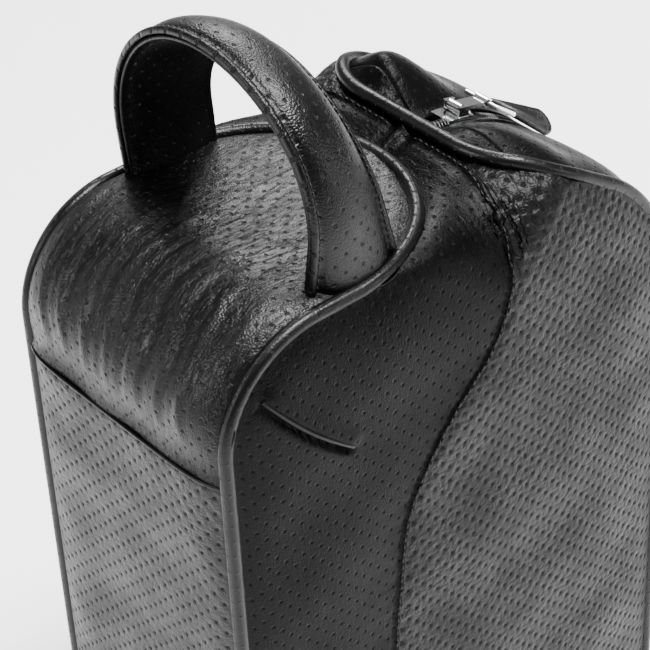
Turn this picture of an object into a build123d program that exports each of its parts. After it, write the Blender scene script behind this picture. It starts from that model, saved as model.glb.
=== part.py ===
from build123d import *
import math
import os

# A soft leather shoe bag that stands upright: a band of leather runs up the spine, over the base
# and around the zipper side, and two big side panels close it. All dimensions are in millimetres.

# ---- driving dimensions ----
bag_width = 237.0        # spine face to zipper face
bag_depth = 130.0        # side panel to side panel
bag_height = 342.0       # floor to the flat of the top
spine_corner_r = 47.0    # where the handle panel folds over the spine
zip_corner_r = 82.0      # the big round shoulder that the zipper follows
base_corner_r = 16.0
edge_r = 11.0            # soft edge between the band and the side panels
skin_t = 2.2             # leather with its backing
lining_t = 1.0
lining_inset = 7.0
piping_r = 3.0
piping_gap = 0.3
handle_turn_x = 70.0     # centre of the round end of the handle panel, from the spine face
zip_tip_x = 149.0        # where the zipper gusset's end starts, from the spine face
zip_tip_r = 35.0         # corner radius of that squarer end
spine_seam_z = 284.0     # handle panel to spine panel
base_seam_z = 18.0
mouth_low_z = 58.0       # the two zipper lips that open
mouth_high_z = 212.0
lip_edge_y = 57.3
slit_half = 4.5          # leather edge either side of the zipper
slit_start_deg = 88.0
chain_r_in = 79.0
handle_x = 72.0          # centre of the strap, from the spine face
handle_w = 43.0
handle_pivot_z = 365.0
handle_arch_z = 369.0
handle_outer_y = 58.2
outer_strap_t = 3.0
core_t = 3.0
inner_strap_t = 2.0
pin_radius_pos = 86.8    # puller pin above the shoulder's centre
link_len = 15.0
loop_len = 11.0
tab_len = 38.0
x_mid = 125.7            # middle of the whole bounding box, from the spine face
seam = 0.2               # half of the gap at a sewn seam

# ---- positions worked out from them ----
half_d = bag_depth / 2
tuck = edge_r * (1 - math.cos(math.pi / 4))
pipe_y = half_d - tuck
x_spine = -x_mid
x_zip = bag_width - x_mid
arc_x = x_zip - zip_corner_r
arc_z = bag_height - zip_corner_r
arc_axis = Axis((arc_x, 0, arc_z), (0, -1, 0))
len_spine = bag_height - spine_corner_r


def tube_along(wires, radius):
    """A round tube along each list of edges, all in one piece."""
    with BuildPart() as tube:
        for wire in wires:
            with BuildSketch(Plane(origin=wire @ 0, z_dir=wire % 0)) as ring:
                Circle(radius)
            sweep(ring.sketch, path=wire, transition=Transition.RIGHT)
    return tube.part


def handle_loop(radius):
    """Piping up the spine, over its rounded corner and around the end of the handle panel."""
    x0 = x_spine + piping_r
    bend = spine_corner_r - piping_r
    high = bag_height - piping_r
    turn = x_spine + handle_turn_x
    with BuildLine() as path:
        Line((x0, -pipe_y, base_corner_r), (x0, -pipe_y, len_spine))
        TangentArc((x0, -pipe_y, len_spine), (x0 + bend, -pipe_y, high), tangent=(0, 0, 1))
        Line((x0 + bend, -pipe_y, high), (turn, -pipe_y, high))
        TangentArc((turn, -pipe_y, high), (turn, pipe_y, high), tangent=(1, 0, 0))
        Line((turn, pipe_y, high), (x0 + bend, pipe_y, high))
        TangentArc((x0 + bend, pipe_y, high), (x0, pipe_y, len_spine), tangent=(-1, 0, 0))
        Line((x0, pipe_y, len_spine), (x0, pipe_y, base_corner_r))
    return tube_along([path.wire()], radius)


def shoulder_z(x):
    """Height of the piping's centre on the shoulder, x mm from the spine face."""
    r = zip_corner_r - piping_r
    run = max(0.0, x - bag_width + zip_corner_r)
    return arc_z + math.sqrt(r * r - run * run)


def zip_loop(radius):
    """Piping up the zipper face, around the shoulder and across the gusset's square end."""
    x0 = x_zip - piping_r
    turn = zip_tip_x + zip_tip_r
    flat = pipe_y - zip_tip_r
    corner = []
    for k in range(8):
        a = math.pi / 2 * k / 7
        x = turn - zip_tip_r * math.sin(a)
        corner.append((x_spine + x, flat + zip_tip_r * math.cos(a), shoulder_z(x)))
    with BuildLine() as end:
        Polyline(*[(x, -y, z) for x, y, z in corner], *reversed(corner))
    sides = []
    for y in (-pipe_y, pipe_y):
        with BuildLine() as side:
            Line((x0, y, base_corner_r), (x0, y, arc_z))
            first = corner[0]
            mid = math.atan2(first[2] - arc_z, first[0] - arc_x) / 2
            r = zip_corner_r - piping_r
            ThreePointArc((x0, y, arc_z), (arc_x + r * math.cos(mid), y, arc_z + r * math.sin(mid)),
                          (first[0], y, first[2]))
        sides.append(side.wire())
    return tube_along(sides + [end.wire()], radius)


def base_tube(y, radius):
    """The straight run of piping under one side, with its two rounded corners."""
    r = base_corner_r - piping_r
    low = piping_r
    x0 = x_spine + low
    x1 = x_zip - low
    z0 = base_corner_r
    with BuildPart() as tube:
        with BuildLine():
            a = TangentArc((x0, y, z0), (x0 + r, y, low), tangent=(0, 0, -1))
            b = Line((x0 + r, y, low), (x1 - r, y, low))
            TangentArc(b @ 1, (x1, y, z0), tangent=(1, 0, 0))
        with BuildSketch(Plane(origin=a @ 0, z_dir=(0, 0, -1))):
            Circle(radius)
        sweep()
    return tube.part


def outline(inset, depth):
    """The bag's side outline, drawn smaller by inset all round, at y = depth."""
    x0 = x_spine + inset
    x1 = x_zip - inset
    z0 = inset
    z1 = bag_height - inset
    rs = spine_corner_r - inset
    rz = zip_corner_r - inset
    rb = base_corner_r - inset
    with BuildSketch(Plane.XZ.offset(-depth)) as side:
        with BuildLine():
            Line((x0, z0 + rb), (x0, z1 - rs))
            TangentArc((x0, z1 - rs), (x0 + rs, z1), tangent=(0, 1))
            Line((x0 + rs, z1), (x1 - rz, z1))
            TangentArc((x1 - rz, z1), (x1, z1 - rz), tangent=(1, 0))
            Line((x1, z1 - rz), (x1, z0 + rb))
            TangentArc((x1, z0 + rb), (x1 - rb, z0), tangent=(0, -1))
            Line((x1 - rb, z0), (x0 + rb, z0))
            TangentArc((x0 + rb, z0), (x0, z0 + rb), tangent=(-1, 0))
        make_face()
    return side.sketch


def hull(inset):
    """The soft box, drawn smaller by inset all round."""
    with BuildPart() as body:
        extrude(outline(inset, half_d - inset), amount=2 * (half_d - inset))
        rims = body.faces().sort_by(Axis.Y)
        fillet(rims[0].edges() + rims[-1].edges(), radius=edge_r - inset)
    return body.part


def block(x0, x1, y0, y1, z0, z1, mode=Mode.ADD):
    """A box by its limits; x is measured from the spine face."""
    with Locations((x_spine + (x0 + x1) / 2, (y0 + y1) / 2, (z0 + z1) / 2)):
        Box(x1 - x0, y1 - y0, z1 - z0, mode=mode)


def radial_plane(deg):
    """Plane through the shoulder's centre line: local x is outward, local y runs across the bag."""
    a = math.radians(deg)
    return Plane(origin=(arc_x, 0, arc_z), x_dir=(math.cos(a), 0, math.sin(a)),
                 z_dir=(-math.sin(a), 0, math.cos(a)))


def shoulder_strip(r0, r1, y0, y1, d0, d1):
    """A strip that follows the zipper's arc between two radii, two widths and two angles."""
    with BuildSketch(radial_plane(d0)) as section:
        with Locations(((r0 + r1) / 2, (y0 + y1) / 2)):
            Rectangle(r1 - r0, y1 - y0)
    revolve(section.sketch, axis=arc_axis, revolution_arc=d1 - d0)


def handle_end(clear):
    """Plan of the handle panel, from behind the spine to its round end; clear moves its edge in."""
    r = pipe_y - clear
    with BuildSketch(Plane.XY) as plan:
        with Locations((x_spine + handle_turn_x, 0)):
            Circle(r)
        with Locations((x_spine + handle_turn_x / 2 - 10, 0)):
            Rectangle(handle_turn_x + 20, 2 * r)
    return plan.sketch


def zip_end(clear):
    """Plan of the zipper gusset, from its square end to beyond the zipper face."""
    x0 = x_spine + zip_tip_x + clear
    x1 = x_zip + 20
    with BuildSketch(Plane.XY) as plan:
        with Locations(((x0 + x1) / 2, 0)):
            RectangleRounded(x1 - x0, 2 * (pipe_y - clear), zip_tip_r - clear)
        with Locations((x1 - 30, 0)):
            Rectangle(60, 2 * (pipe_y - clear))
    return plan.sketch


def seam_side():
    """The part of the side view that lies behind the long curved seam, towards the spine."""
    pts = [(74, -5), (74, 90), (77, 190), (86, 236), (105, 266), (127, 288), (138, 312), (143, 332)]
    pts = [(x_spine + x, z) for x, z in pts]
    end = (x_spine + 146, bag_height + 5)
    with BuildSketch(Plane.XZ.offset(-half_d - 5)) as side:
        with BuildLine():
            Spline(*pts, end)
            Polyline(end, (x_spine - 5, bag_height + 5), (x_spine - 5, -5), pts[0])
        make_face()
    return side.sketch


# ---- skin and piping ----
cut_r = piping_r + piping_gap
band_clear = piping_r + 0.4
side_inset = 2 * piping_r + piping_gap

with BuildPart() as spine_piping:
    add(handle_loop(piping_r))

with BuildPart() as zip_piping:
    add(zip_loop(piping_r))

with BuildPart() as base_piping_near:
    add(base_tube(-pipe_y, piping_r))

with BuildPart() as base_piping_far:
    add(base_tube(pipe_y, piping_r))

with BuildPart() as skin:
    add(hull(0))
    add(hull(skin_t), mode=Mode.SUBTRACT)

with BuildPart() as handle_panel:
    extrude(handle_end(band_clear), amount=bag_height + 10)
    block(-5, 140, -70, 70, spine_seam_z + seam, bag_height + 5, Mode.INTERSECT)
    add(skin.part, mode=Mode.INTERSECT)

with BuildPart() as spine_panel:
    block(-5, 40, -pipe_y + band_clear, pipe_y - band_clear, base_seam_z, spine_seam_z - seam)
    add(skin.part, mode=Mode.INTERSECT)

with BuildPart() as base_panel:
    block(-5, bag_width + 5, -pipe_y + band_clear, pipe_y - band_clear, -5, base_seam_z - seam)
    add(skin.part, mode=Mode.INTERSECT)

with BuildPart() as zip_end_panel:
    block(200, bag_width + 5, -pipe_y + band_clear, pipe_y - band_clear, base_seam_z, mouth_low_z - 0.5)
    add(skin.part, mode=Mode.INTERSECT)

slit_start_x = bag_width - zip_corner_r + chain_r_in * math.cos(math.radians(slit_start_deg))
with BuildPart() as zip_gusset:
    extrude(zip_end(band_clear), amount=bag_height + 10)
    block(140, bag_width + 5, -70, 70, mouth_high_z + 0.5, bag_height + 5, Mode.INTERSECT)
    add(skin.part, mode=Mode.INTERSECT)
    block(slit_start_x, bag_width + 5, -slit_half, slit_half, 150, bag_height + 5, Mode.SUBTRACT)


def lip(y0, y1):
    with BuildPart() as half:
        block(200, bag_width + 5, y0, y1, mouth_low_z, mouth_high_z)
        add(skin.part, mode=Mode.INTERSECT)
    return half.part


with BuildPart() as zip_lip_near:
    add(lip(-lip_edge_y, -slit_half))

with BuildPart() as zip_lip_far:
    add(lip(slit_half, lip_edge_y))

with BuildPart() as yoke:
    block(75, 184, -70, 70, bag_height - 15, bag_height + 5)
    add(skin.part, mode=Mode.INTERSECT)
    extrude(handle_end(-cut_r), amount=bag_height + 10, mode=Mode.SUBTRACT)
    extrude(zip_end(-cut_r), amount=bag_height + 10, mode=Mode.SUBTRACT)

with BuildPart() as wrap:
    extrude(outline(side_inset, half_d + 5), amount=bag_depth + 10)
    add(skin.part, mode=Mode.INTERSECT)
    add(yoke.part)

with BuildPart() as behind_seam:
    extrude(seam_side(), amount=bag_depth + 10)


def quarter(y0, y1, mode):
    """One side of the wrap, kept behind the long seam or in front of it."""
    with BuildPart() as piece:
        block(-5, bag_width + 5, y0, y1, -5, bag_height + 5)
        add(wrap.part, mode=Mode.INTERSECT)
        add(behind_seam.part, mode=mode)
    return piece.part


with BuildPart() as yoke_panel_near:
    add(quarter(-70, -seam, Mode.INTERSECT))

with BuildPart() as yoke_panel_far:
    add(quarter(seam, 70, Mode.INTERSECT))

with BuildPart() as side_panel_near:
    add(quarter(-70, -seam, Mode.SUBTRACT))

with BuildPart() as side_panel_far:
    add(quarter(seam, 70, Mode.SUBTRACT))

# ---- lining and base board ----
with BuildPart() as inner:
    add(hull(lining_inset))
    add(hull(lining_inset + lining_t), mode=Mode.SUBTRACT)

with BuildPart() as lining_near:
    block(-5, bag_width + 5, -70, -50, -5, bag_height + 5)
    add(inner.part, mode=Mode.INTERSECT)

with BuildPart() as lining_far:
    block(-5, bag_width + 5, 50, 70, -5, bag_height + 5)
    add(inner.part, mode=Mode.INTERSECT)

with BuildPart() as lining_band:
    block(-5, 140, -50, 50, -5, bag_height + 5)
    block(140, bag_width + 5, -50, 50, -5, mouth_low_z - 10)
    add(inner.part, mode=Mode.INTERSECT)

with BuildPart() as base_board:
    block(14, bag_width - 14, -half_d + 14, half_d - 14, 8.2, 10.7)
    fillet(base_board.edges().filter_by(Axis.Z), radius=8)

# ---- zipper: tapes and chain ----
tape_r = (79.1, 79.7)
chain_r = (79.4, 81.8)
tape_y = (2.6, 12.0)
chain_y = (0.8, 2.6)


def zip_run(radii, widths, side):
    """A strip along the shoulder and down to the top of the lips, on one side of the slit."""
    y0, y1 = sorted((side * widths[0], side * widths[1]))
    x0 = bag_width - zip_corner_r + radii[0]
    x1 = bag_width - zip_corner_r + radii[1]
    with BuildPart() as run:
        shoulder_strip(radii[0], radii[1], y0, y1, 0, slit_start_deg)
        block(x0, x1, y0, y1, mouth_high_z + 0.5, arc_z)
    return run.part


def zip_straight(radii, widths, side):
    """The same strip on one opening lip."""
    y0, y1 = sorted((side * widths[0], side * widths[1]))
    x0 = bag_width - zip_corner_r + radii[0]
    x1 = bag_width - zip_corner_r + radii[1]
    with BuildPart() as run:
        block(x0, x1, y0, y1, mouth_low_z, mouth_high_z)
    return run.part


with BuildPart() as tape_top_near:
    add(zip_run(tape_r, tape_y, -1))

with BuildPart() as tape_top_far:
    add(zip_run(tape_r, tape_y, 1))

with BuildPart() as chain_top_near:
    add(zip_run(chain_r, chain_y, -1))

with BuildPart() as chain_top_far:
    add(zip_run(chain_r, chain_y, 1))

with BuildPart() as tape_lip_near:
    add(zip_straight(tape_r, tape_y, -1))

with BuildPart() as tape_lip_far:
    add(zip_straight(tape_r, tape_y, 1))

with BuildPart() as chain_lip_near:
    add(zip_straight(chain_r, chain_y, -1))

with BuildPart() as chain_lip_far:
    add(zip_straight(chain_r, chain_y, 1))

with BuildPart() as zip_stop:
    block(bag_width - 4.6, bag_width - 2.4, -4, 4, mouth_low_z - 6, mouth_low_z - 2)

# ---- handle ----
pivot_x = x_spine + handle_x
pivot_axis_plane = Plane(origin=(pivot_x, 0, handle_pivot_z), x_dir=(1, 0, 0), z_dir=(0, -1, 0))
foot_r = handle_w / 2


def arch(r_out, r_in):
    """The strap's arch between two radii, with its feet rounded to turn about the sewn ends."""
    with BuildPart() as strap:
        with BuildSketch(Plane.YZ.offset(pivot_x - handle_w / 2)):
            with Locations((0, handle_arch_z)):
                Circle(r_out)
            with Locations((0, handle_arch_z - 30)):
                Rectangle(2 * r_out, 60)
            with Locations((0, handle_arch_z)):
                Circle(r_in, mode=Mode.SUBTRACT)
            with Locations((0, handle_arch_z - 31)):
                Rectangle(2 * r_in, 62, mode=Mode.SUBTRACT)
        extrude(amount=handle_w)
        with BuildSketch(pivot_axis_plane):
            Circle(foot_r)
            with Locations((0, 60)):
                Rectangle(handle_w, 120)
        extrude(amount=half_d, both=True, mode=Mode.INTERSECT)
    return strap.part


r1 = handle_outer_y
r2 = r1 - outer_strap_t
r3 = r2 - core_t
r4 = r3 - inner_strap_t

with BuildPart() as handle_outer:
    add(arch(r1, r2))

with BuildPart() as handle_core:
    add(arch(r2, r3))

with BuildPart() as handle_inner:
    add(arch(r3, r4))


def handle_root(y0, y1):
    """The sewn-down end of the strap, hollowed so that the strap's foot can turn in it."""
    with BuildPart() as root:
        block(handle_x - foot_r, handle_x + foot_r, y0, y1, bag_height + 0.1, handle_pivot_z - 4)
        with BuildSketch(pivot_axis_plane):
            Circle(foot_r + piping_gap)
        extrude(amount=half_d, both=True, mode=Mode.SUBTRACT)
    return root.part


with BuildPart() as handle_root_near:
    add(handle_root(-r1, -r4))

with BuildPart() as handle_root_far:
    add(handle_root(r4, r1))


# ---- sliders, links and pull tabs ----
def direction(deg):
    a = math.radians(deg)
    return (math.cos(a), math.sin(a))


def pin_at(deg):
    u = direction(deg)
    return (arc_x + pin_radius_pos * u[0], arc_z + pin_radius_pos * u[1])


def stepped(p, deg, length):
    u = direction(deg)
    return (p[0] + length * u[0], p[1] + length * u[1])


def cross_bar(p, r, half):
    """A round bar across the bag at a place in the side view."""
    with BuildSketch(Plane.XZ.offset(-half)) as section:
        with Locations(p):
            Circle(r)
    extrude(section.sketch, amount=2 * half)


def slider(deg):
    with BuildPart() as body:
        shoulder_strip(82.3, 84.3, -5.5, 5.5, deg - 5.6, deg + 5.6)
        shoulder_strip(76.9, 78.7, -5.0, 5.0, deg - 5.2, deg + 5.2)
        shoulder_strip(78.6, 82.4, -0.5, 0.5, deg - 2.5, deg + 2.5)
        shoulder_strip(84.2, 88.6, 3.9, 5.1, deg - 1.8, deg + 1.8)
        shoulder_strip(84.2, 88.6, -5.1, -3.9, deg - 1.8, deg + 1.8)
        cross_bar(pin_at(deg), 0.9, 4.0)
    return body.part


def link(deg, lean):
    p0 = pin_at(deg)
    p1 = stepped(p0, lean, link_len)
    middle = stepped(p0, lean, link_len / 2)
    with BuildPart() as strap:
        with BuildSketch(Plane.XZ):
            with Locations(p0):
                Circle(2.0)
            with Locations(p1):
                Circle(2.2)
            with Locations(middle):
                Rectangle(link_len, 1.6, rotation=lean)
            with Locations(p0):
                Circle(1.3, mode=Mode.SUBTRACT)
            with Locations(p1):
                Circle(1.4, mode=Mode.SUBTRACT)
        extrude(amount=3.4, both=True)
    return strap.part


def loop(deg, lean, hang):
    p1 = stepped(pin_at(deg), lean, link_len)
    p2 = stepped(p1, hang, loop_len)
    middle = stepped(p1, hang, loop_len / 2)
    with BuildPart() as ring:
        with BuildSketch(Plane.XZ):
            with Locations(p1):
                Circle(1.0)
            with Locations(p2):
                Circle(1.0)
            with Locations(middle):
                Rectangle(loop_len, 2.0, rotation=hang)
        extrude(amount=9.4, both=True)
        with BuildSketch(Plane.XZ):
            with Locations(middle):
                Rectangle(loop_len + 6, 6.0, rotation=hang)
        extrude(amount=7.6, both=True, mode=Mode.SUBTRACT)
        cross_bar(p1, 1.0, 8.0)
        cross_bar(p2, 1.0, 8.0)
    return ring.part


def tab(deg, lean, hang):
    p2 = stepped(stepped(pin_at(deg), lean, link_len), hang, loop_len)
    u = direction(hang)
    flat = Plane(origin=(p2[0], 0, p2[1]), x_dir=(u[0], 0, u[1]), z_dir=(-u[1], 0, u[0]))
    half = 6.3
    with BuildPart() as strip:
        with BuildSketch(flat):
            with Locations(((tab_len - half) / 2 - 1.25, 0)):
                Rectangle(tab_len - half + 2.5, 2 * half)
            with Locations((tab_len - half, 0)):
                Circle(half)
        extrude(amount=1.5, both=True)
        with BuildSketch(Plane.XZ):
            with Locations(p2):
                Circle(1.1)
        extrude(amount=10, both=True, mode=Mode.SUBTRACT)
    return strip.part


upper = (77.0, -13.0, -36.9)
lower = (21.0, -69.0, -80.0)

with BuildPart() as slider_upper:
    add(slider(upper[0]))

with BuildPart() as slider_lower:
    add(slider(lower[0]))

with BuildPart() as link_upper:
    add(link(upper[0], upper[1]))

with BuildPart() as link_lower:
    add(link(lower[0], lower[1]))

with BuildPart() as loop_upper:
    add(loop(*upper))

with BuildPart() as loop_lower:
    add(loop(*lower))

with BuildPart() as tab_upper:
    add(tab(*upper))

with BuildPart() as tab_lower:
    add(tab(*lower))

os.makedirs("parts", exist_ok=True)

handle_panel.part.label = "handle_panel"
export_step(handle_panel.part, "parts/handle_panel.step")

spine_panel.part.label = "spine_panel"
export_step(spine_panel.part, "parts/spine_panel.step")

base_panel.part.label = "base_panel"
export_step(base_panel.part, "parts/base_panel.step")

zip_end_panel.part.label = "zip_end_panel"
export_step(zip_end_panel.part, "parts/zip_end_panel.step")

zip_gusset.part.label = "zip_gusset"
export_step(zip_gusset.part, "parts/zip_gusset.step")

zip_lip_near.part.label = "zip_lip_near"
export_step(zip_lip_near.part, "parts/zip_lip_near.step")

zip_lip_far.part.label = "zip_lip_far"
export_step(zip_lip_far.part, "parts/zip_lip_far.step")

yoke_panel_near.part.label = "yoke_panel_near"
export_step(yoke_panel_near.part, "parts/yoke_panel_near.step")

yoke_panel_far.part.label = "yoke_panel_far"
export_step(yoke_panel_far.part, "parts/yoke_panel_far.step")

side_panel_near.part.label = "side_panel_near"
export_step(side_panel_near.part, "parts/side_panel_near.step")

side_panel_far.part.label = "side_panel_far"
export_step(side_panel_far.part, "parts/side_panel_far.step")

spine_piping.part.label = "spine_piping"
export_step(spine_piping.part, "parts/spine_piping.step")

zip_piping.part.label = "zip_piping"
export_step(zip_piping.part, "parts/zip_piping.step")

base_piping_near.part.label = "base_piping_near"
export_step(base_piping_near.part, "parts/base_piping_near.step")

base_piping_far.part.label = "base_piping_far"
export_step(base_piping_far.part, "parts/base_piping_far.step")

lining_near.part.label = "lining_near"
export_step(lining_near.part, "parts/lining_near.step")

lining_far.part.label = "lining_far"
export_step(lining_far.part, "parts/lining_far.step")

lining_band.part.label = "lining_band"
export_step(lining_band.part, "parts/lining_band.step")

base_board.part.label = "base_board"
export_step(base_board.part, "parts/base_board.step")

tape_top_near.part.label = "tape_top_near"
export_step(tape_top_near.part, "parts/tape_top_near.step")

tape_top_far.part.label = "tape_top_far"
export_step(tape_top_far.part, "parts/tape_top_far.step")

chain_top_near.part.label = "chain_top_near"
export_step(chain_top_near.part, "parts/chain_top_near.step")

chain_top_far.part.label = "chain_top_far"
export_step(chain_top_far.part, "parts/chain_top_far.step")

tape_lip_near.part.label = "tape_lip_near"
export_step(tape_lip_near.part, "parts/tape_lip_near.step")

tape_lip_far.part.label = "tape_lip_far"
export_step(tape_lip_far.part, "parts/tape_lip_far.step")

chain_lip_near.part.label = "chain_lip_near"
export_step(chain_lip_near.part, "parts/chain_lip_near.step")

chain_lip_far.part.label = "chain_lip_far"
export_step(chain_lip_far.part, "parts/chain_lip_far.step")

zip_stop.part.label = "zip_stop"
export_step(zip_stop.part, "parts/zip_stop.step")

handle_outer.part.label = "handle_outer"
export_step(handle_outer.part, "parts/handle_outer.step")

handle_core.part.label = "handle_core"
export_step(handle_core.part, "parts/handle_core.step")

handle_inner.part.label = "handle_inner"
export_step(handle_inner.part, "parts/handle_inner.step")

handle_root_near.part.label = "handle_root_near"
export_step(handle_root_near.part, "parts/handle_root_near.step")

handle_root_far.part.label = "handle_root_far"
export_step(handle_root_far.part, "parts/handle_root_far.step")

slider_upper.part.label = "slider_upper"
export_step(slider_upper.part, "parts/slider_upper.step")

slider_lower.part.label = "slider_lower"
export_step(slider_lower.part, "parts/slider_lower.step")

link_upper.part.label = "link_upper"
export_step(link_upper.part, "parts/link_upper.step")

link_lower.part.label = "link_lower"
export_step(link_lower.part, "parts/link_lower.step")

loop_upper.part.label = "loop_upper"
export_step(loop_upper.part, "parts/loop_upper.step")

loop_lower.part.label = "loop_lower"
export_step(loop_lower.part, "parts/loop_lower.step")

tab_upper.part.label = "tab_upper"
export_step(tab_upper.part, "parts/tab_upper.step")

tab_lower.part.label = "tab_lower"
export_step(tab_lower.part, "parts/tab_lower.step")
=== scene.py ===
import math
import bpy
import numpy as np
from mathutils import Matrix, Vector


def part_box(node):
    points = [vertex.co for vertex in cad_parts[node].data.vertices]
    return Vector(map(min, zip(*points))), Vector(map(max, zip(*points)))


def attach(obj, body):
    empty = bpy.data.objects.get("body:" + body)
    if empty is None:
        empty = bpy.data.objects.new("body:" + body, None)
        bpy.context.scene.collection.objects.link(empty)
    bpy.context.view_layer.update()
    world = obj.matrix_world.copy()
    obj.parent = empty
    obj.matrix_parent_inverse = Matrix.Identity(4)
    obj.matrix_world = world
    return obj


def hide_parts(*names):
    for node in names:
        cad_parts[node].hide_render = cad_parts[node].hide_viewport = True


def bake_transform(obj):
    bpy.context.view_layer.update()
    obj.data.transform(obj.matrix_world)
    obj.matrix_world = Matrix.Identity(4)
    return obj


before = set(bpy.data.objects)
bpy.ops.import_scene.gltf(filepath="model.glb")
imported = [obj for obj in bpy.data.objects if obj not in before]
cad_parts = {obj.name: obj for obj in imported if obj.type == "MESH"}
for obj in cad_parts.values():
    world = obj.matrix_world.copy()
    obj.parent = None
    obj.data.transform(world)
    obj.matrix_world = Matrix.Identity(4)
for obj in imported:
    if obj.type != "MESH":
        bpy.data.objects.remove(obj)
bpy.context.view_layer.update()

MM = 0.001

# ---- the bag's sizes in millimetres, read from the frame; x is measured from the spine face ----
spine_low, spine_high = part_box("spine_panel")
end_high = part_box("zip_end_panel")[1]
side_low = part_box("side_panel_near")[0]
lip_low, lip_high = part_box("zip_lip_near")
strap_low, strap_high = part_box("handle_outer")

x_origin = spine_low[0] / MM
width = (end_high[0] - spine_low[0]) / MM
half_depth = -side_low[1] / MM
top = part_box("handle_panel")[1][2] / MM
spine_r = 47.0
zip_r = 82.0
base_r = 16.0
pipe_r = 3.0
pipe_y = 61.8
handle_turn = 70.0
tip_x = 149.0
tip_r = 35.0
seam_z = spine_high[2] / MM + 0.2
base_z = spine_low[2] / MM
mouth_low = lip_low[2] / MM
mouth_high = lip_high[2] / MM
arc_x = width - zip_r
arc_z = top - zip_r
strap_w = (strap_high[0] - strap_low[0]) / MM
strap_x = (strap_high[0] + strap_low[0]) / 2 / MM - x_origin
arch_z = 363.0
hole_step = 3.8
SINK = 0.2          # how much less than its radius the piping lies below the outline
SKIN = 1.6          # thickness of the leather


# ---- small helpers ----
def in_frame(points):
    """Millimetres from the spine face to metres in the frame."""
    out = np.array(points, dtype=float)
    out[..., 0] += x_origin
    return out * MM


def smooth(lo, hi, value):
    t = np.clip((value - lo) / (hi - lo), 0.0, 1.0)
    return t * t * (3 - 2 * t)


def new_object(name, verts, faces, cut=None):
    """A smooth-shaded mesh object; cut is the place of each vertex on the flat leather, in mm."""
    mesh = bpy.data.meshes.new(name)
    mesh.from_pydata([tuple(v) for v in verts], [], [tuple(f) for f in faces])
    if cut is not None:
        layer = mesh.attributes.new("cut", "FLOAT_VECTOR", "POINT")
        layer.data.foreach_set("vector", np.asarray(cut, dtype=np.float32).ravel())
    mesh.validate()
    mesh.update()
    mesh.polygons.foreach_set("use_smooth", [True] * len(mesh.polygons))
    obj = bpy.data.objects.new(name, mesh)
    bpy.context.scene.collection.objects.link(obj)
    return obj


def grid_faces(rows, cols, wrap=False, flip=False):
    faces = []
    last = cols if wrap else cols - 1
    for i in range(rows - 1):
        for j in range(last):
            k = (j + 1) % cols
            quad = (i * cols + j, i * cols + k, (i + 1) * cols + k, (i + 1) * cols + j)
            faces.append(quad[::-1] if flip else quad)
    return faces


def grid_object(name, points, cut, flip=False):
    rows, cols = points.shape[:2]
    return new_object(name, in_frame(points).reshape(-1, 3), grid_faces(rows, cols, flip=flip),
                      cut.reshape(-1, 3))


def ripple(a, b, seed, size):
    """A gentle, repeatable bumpiness of the two surface coordinates, in -1..1."""
    local = np.random.default_rng(seed)
    total = np.zeros_like(np.asarray(a, dtype=float))
    for k in range(7):
        ang = local.uniform(0, math.pi)
        freq = 2 * math.pi / (size * local.uniform(0.7, 1.6))
        total = total + np.sin((a * math.cos(ang) + b * math.sin(ang)) * freq + local.uniform(0, 6.28))
    return total / 4.0


def resample(points, step):
    pts = np.asarray(points, dtype=float)
    seg = np.linalg.norm(np.diff(pts, axis=0), axis=1)
    dist = np.concatenate([[0], np.cumsum(seg)])
    count = max(2, int(dist[-1] / step) + 1)
    at = np.linspace(0, dist[-1], count)
    return np.stack([np.interp(at, dist, pts[:, k]) for k in range(3)], axis=1), at


def tube(name, points, section, step=1.2, upright=(0.0, 1.0, 0.0)):
    """A tube along points; its section is a list of (side, up) offsets, up starting out as upright."""
    pts, at = resample(points, step)
    tangent = np.gradient(pts, axis=0)
    tangent /= np.linalg.norm(tangent, axis=1, keepdims=True)
    up = np.array(upright, dtype=float)
    if abs(tangent[0] @ up) > 0.9:
        up = np.array((1.0, 0.0, 0.0))
    rings = []
    for k in range(len(pts)):
        up = up - tangent[k] * (up @ tangent[k])
        up /= np.linalg.norm(up)
        side = np.cross(tangent[k], up)
        rings.append([pts[k] + side * s + up * u for s, u in section])
    rings = np.array(rings)
    n, m = rings.shape[:2]
    girth = np.concatenate([[0], np.cumsum(np.linalg.norm(np.diff(np.array(section), axis=0), axis=1))])
    cut = np.zeros((n, m, 3))
    cut[..., 0] = girth[None, :]
    cut[..., 1] = at[:, None]
    cut[..., 2] = len(name)
    return new_object(name, in_frame(rings).reshape(-1, 3), grid_faces(n, m, wrap=True),
                      cut.reshape(-1, 3))


def circle(radius, count=14):
    return [(radius * math.cos(2 * math.pi * k / count), radius * math.sin(2 * math.pi * k / count))
            for k in range(count)]


def settle(obj, body, material, slot, *nodes):
    """Gives a piece its material and body, and hides the CAD nodes that it stands for; the slot is not used.
    """
    obj.data.materials.clear()
    obj.data.materials.append(material)
    if body:
        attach(obj, body)
    if nodes:
        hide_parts(*nodes)
    return obj


def thicken(obj, thickness=SKIN):
    """Adds the thickness inwards and keeps the shading smooth up to the piece's edges."""
    mod = obj.modifiers.new("thickness", "SOLIDIFY")
    mod.thickness = thickness * MM
    mod.offset = -1.0
    shade = obj.modifiers.new("shading", "WEIGHTED_NORMAL")
    shade.mode = "FACE_AREA"
    shade.weight = 90
    return obj


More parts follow.
